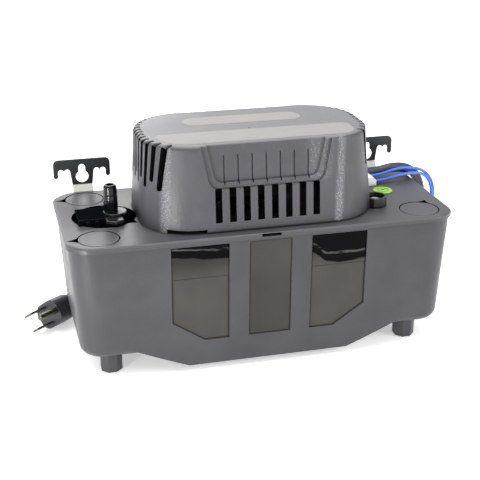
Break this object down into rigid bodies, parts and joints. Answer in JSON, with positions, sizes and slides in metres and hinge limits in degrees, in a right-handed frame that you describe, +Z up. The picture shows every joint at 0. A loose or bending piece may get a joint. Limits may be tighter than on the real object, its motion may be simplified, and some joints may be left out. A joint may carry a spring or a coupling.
{
  "type": "condensate pump",
  "caption": "Low tank pump with a vented motor cover, float switches, a check valve with a hose barb, plugged inlets, wall hangers and a mains cord.",
  "frame": {"origin": "centre of the bounding box's base, on the surface under the feet, cords left out", "axes": "+X along the tank towards the end where the cord leaves, +Y to the back (wall side), +Z up"},
  "size_m": [0.3358, 0.2453, 0.1657],
  "materials": {
    "tank_plastic": "fine-grained moulded plastic, dark grey",
    "deck_plastic": "fine-grained moulded plastic, mid grey",
    "cover_plastic": "fine-grained moulded plastic, mid grey",
    "valve_black": "black moulded plastic, satin",
    "lock_ring_grey": "grey moulded plastic",
    "hanger_steel": "black powder coat",
    "screw_steel": "zinc plated",
    "lamination_steel": "stacked electrical steel",
    "winding_copper": "enamelled copper wire",
    "bracket_cast": "die cast",
    "bearing_bronze": "sintered bronze",
    "shaft_steel": "ground",
    "rotor_steel": "turned",
    "fan_plastic": "moulded",
    "pump_plastic": "moulded",
    "tube_vinyl": "milky extruded tube",
    "float_foam": "closed-cell foam",
    "arm_plastic": "natural nylon",
    "switch_black": "moulded phenolic",
    "switch_metal": "stamped",
    "button_red": "moulded",
    "marker_green": "bright green moulded plastic",
    "bushing_white": "white nylon",
    "cord_rubber": "dark grey jacket",
    "lead_blue": "bright blue insulation",
    "lead_copper": "tinned strands",
    "blade_brass": "rolled",
    "seal_rubber": "moulded ring"
  },
  "bodies": {
    "tank": {"tank": "tank_plastic", "hanger_left": "hanger_steel", "hanger_right": "hanger_steel", "hanger_screws": "screw_steel", "power_cord": "cord_rubber", "power_cord_end": "cord_rubber", "cord_coil": "cord_rubber", "plug_body": "cord_rubber", "plug_blades": "blade_brass", "plug_ground_pin": "blade_brass", "safety_lead_front": "lead_blue", "safety_lead_back": "lead_blue", "lead_ends": "lead_copper"},
    "pump_head": {"deck": "deck_plastic", "valve_body": "valve_black", "valve_cap": "valve_black", "valve_seal": "seal_rubber", "discharge_barb": "valve_black", "valve_lock_ring": "lock_ring_grey", "stator_laminations": "lamination_steel", "stator_winding": "winding_copper", "motor_bracket_lower": "bracket_cast", "motor_bracket_upper": "bracket_cast", "bearing_lower": "bearing_bronze", "bearing_upper": "bearing_bronze", "motor_screws": "screw_steel", "pump_column": "pump_plastic", "column_screws": "screw_steel", "volute": "pump_plastic", "volute_screws": "screw_steel", "pump_base": "pump_plastic", "discharge_tube": "tube_vinyl", "float_arm_pin": "screw_steel", "switch_bracket": "switch_metal", "switch_screws": "screw_steel", "run_switch_body": "switch_black", "safety_switch_body": "switch_black", "green_disc": "marker_green", "lead_bushing": "bushing_white", "strain_relief": "cord_rubber"},
    "motor_cover": {"motor_cover": "cover_plastic", "cover_screw": "screw_steel"},
    "rotor": {"rotor": "rotor_steel", "motor_shaft": "shaft_steel", "cooling_fan": "fan_plastic", "impeller": "pump_plastic"},
    "float": {"float": "float_foam", "float_arm": "arm_plastic"},
    "push_rod": {"push_rod": "arm_plastic"},
    "switch_levers": {"run_switch_lever": "switch_metal", "safety_switch_lever": "switch_metal"},
    "switch_buttons": {"run_switch_button": "button_red", "safety_switch_button": "button_red"},
    "valve_ball": {"valve_ball": "screw_steel"},
    "inlet_plug_left_back": {"inlet_plug_left_back": "deck_plastic"},
    "inlet_plug_left_front": {"inlet_plug_left_front": "deck_plastic"},
    "inlet_plug_right_front": {"inlet_plug_right_front": "deck_plastic"}
  },
  "joints": [
    {"name": "head_lift", "type": "slide", "parent": "tank", "child": "pump_head", "axis": [0, 0, 1], "range_m": [0, 0.12], "deforming": ["power_cord", "safety_lead_front", "safety_lead_back"]},
    {"name": "cover_lift", "type": "slide", "parent": "pump_head", "child": "motor_cover", "axis": [0, 0, 1], "range_m": [0, 0.07]},
    {"name": "rotor_spin", "type": "hinge", "parent": "pump_head", "child": "rotor", "pos_m": [0, -0.00275, 0.129], "axis": [0, 0, 1], "continuous": true},
    {"name": "float_swing", "type": "hinge", "parent": "pump_head", "child": "float", "pos_m": [0.048, -0.00275, 0.086], "axis": [0, -1, 0], "range_deg": [0, 15]},
    {"name": "push_rod_lift", "type": "slide", "parent": "pump_head", "child": "push_rod", "axis": [0, 0, 1], "range_m": [0, 0.00644]},
    {"name": "switch_lever_turn", "type": "hinge", "parent": "pump_head", "child": "switch_levers", "pos_m": [0.054, -0.00275, 0.115], "axis": [0, -1, 0], "range_deg": [0, 19.68]},
    {"name": "switch_button_press", "type": "slide", "parent": "pump_head", "child": "switch_buttons", "axis": [0, 0, 1], "range_m": [0, 0.0018]},
    {"name": "valve_ball_lift", "type": "slide", "parent": "pump_head", "child": "valve_ball", "axis": [0, 0, 1], "range_m": [0, 0.0035]},
    {"name": "inlet_plug_left_back_pull", "type": "slide", "parent": "pump_head", "child": "inlet_plug_left_back", "axis": [0, 0, 1], "range_m": [0, 0.025]},
    {"name": "inlet_plug_left_front_pull", "type": "slide", "parent": "pump_head", "child": "inlet_plug_left_front", "axis": [0, 0, 1], "range_m": [0, 0.025]},
    {"name": "inlet_plug_right_front_pull", "type": "slide", "parent": "pump_head", "child": "inlet_plug_right_front", "axis": [0, 0, 1], "range_m": [0, 0.025]}
  ],
  "couplings": [
    {"joint": "push_rod_lift", "follows": "float_swing", "m_per_rad": 0.024564},
    {"joint": "switch_lever_turn", "follows": "float_swing", "ratio": 1.3107},
    {"joint": "switch_button_press", "follows": "float_swing", "m_per_rad": 0.006823}
  ]
}
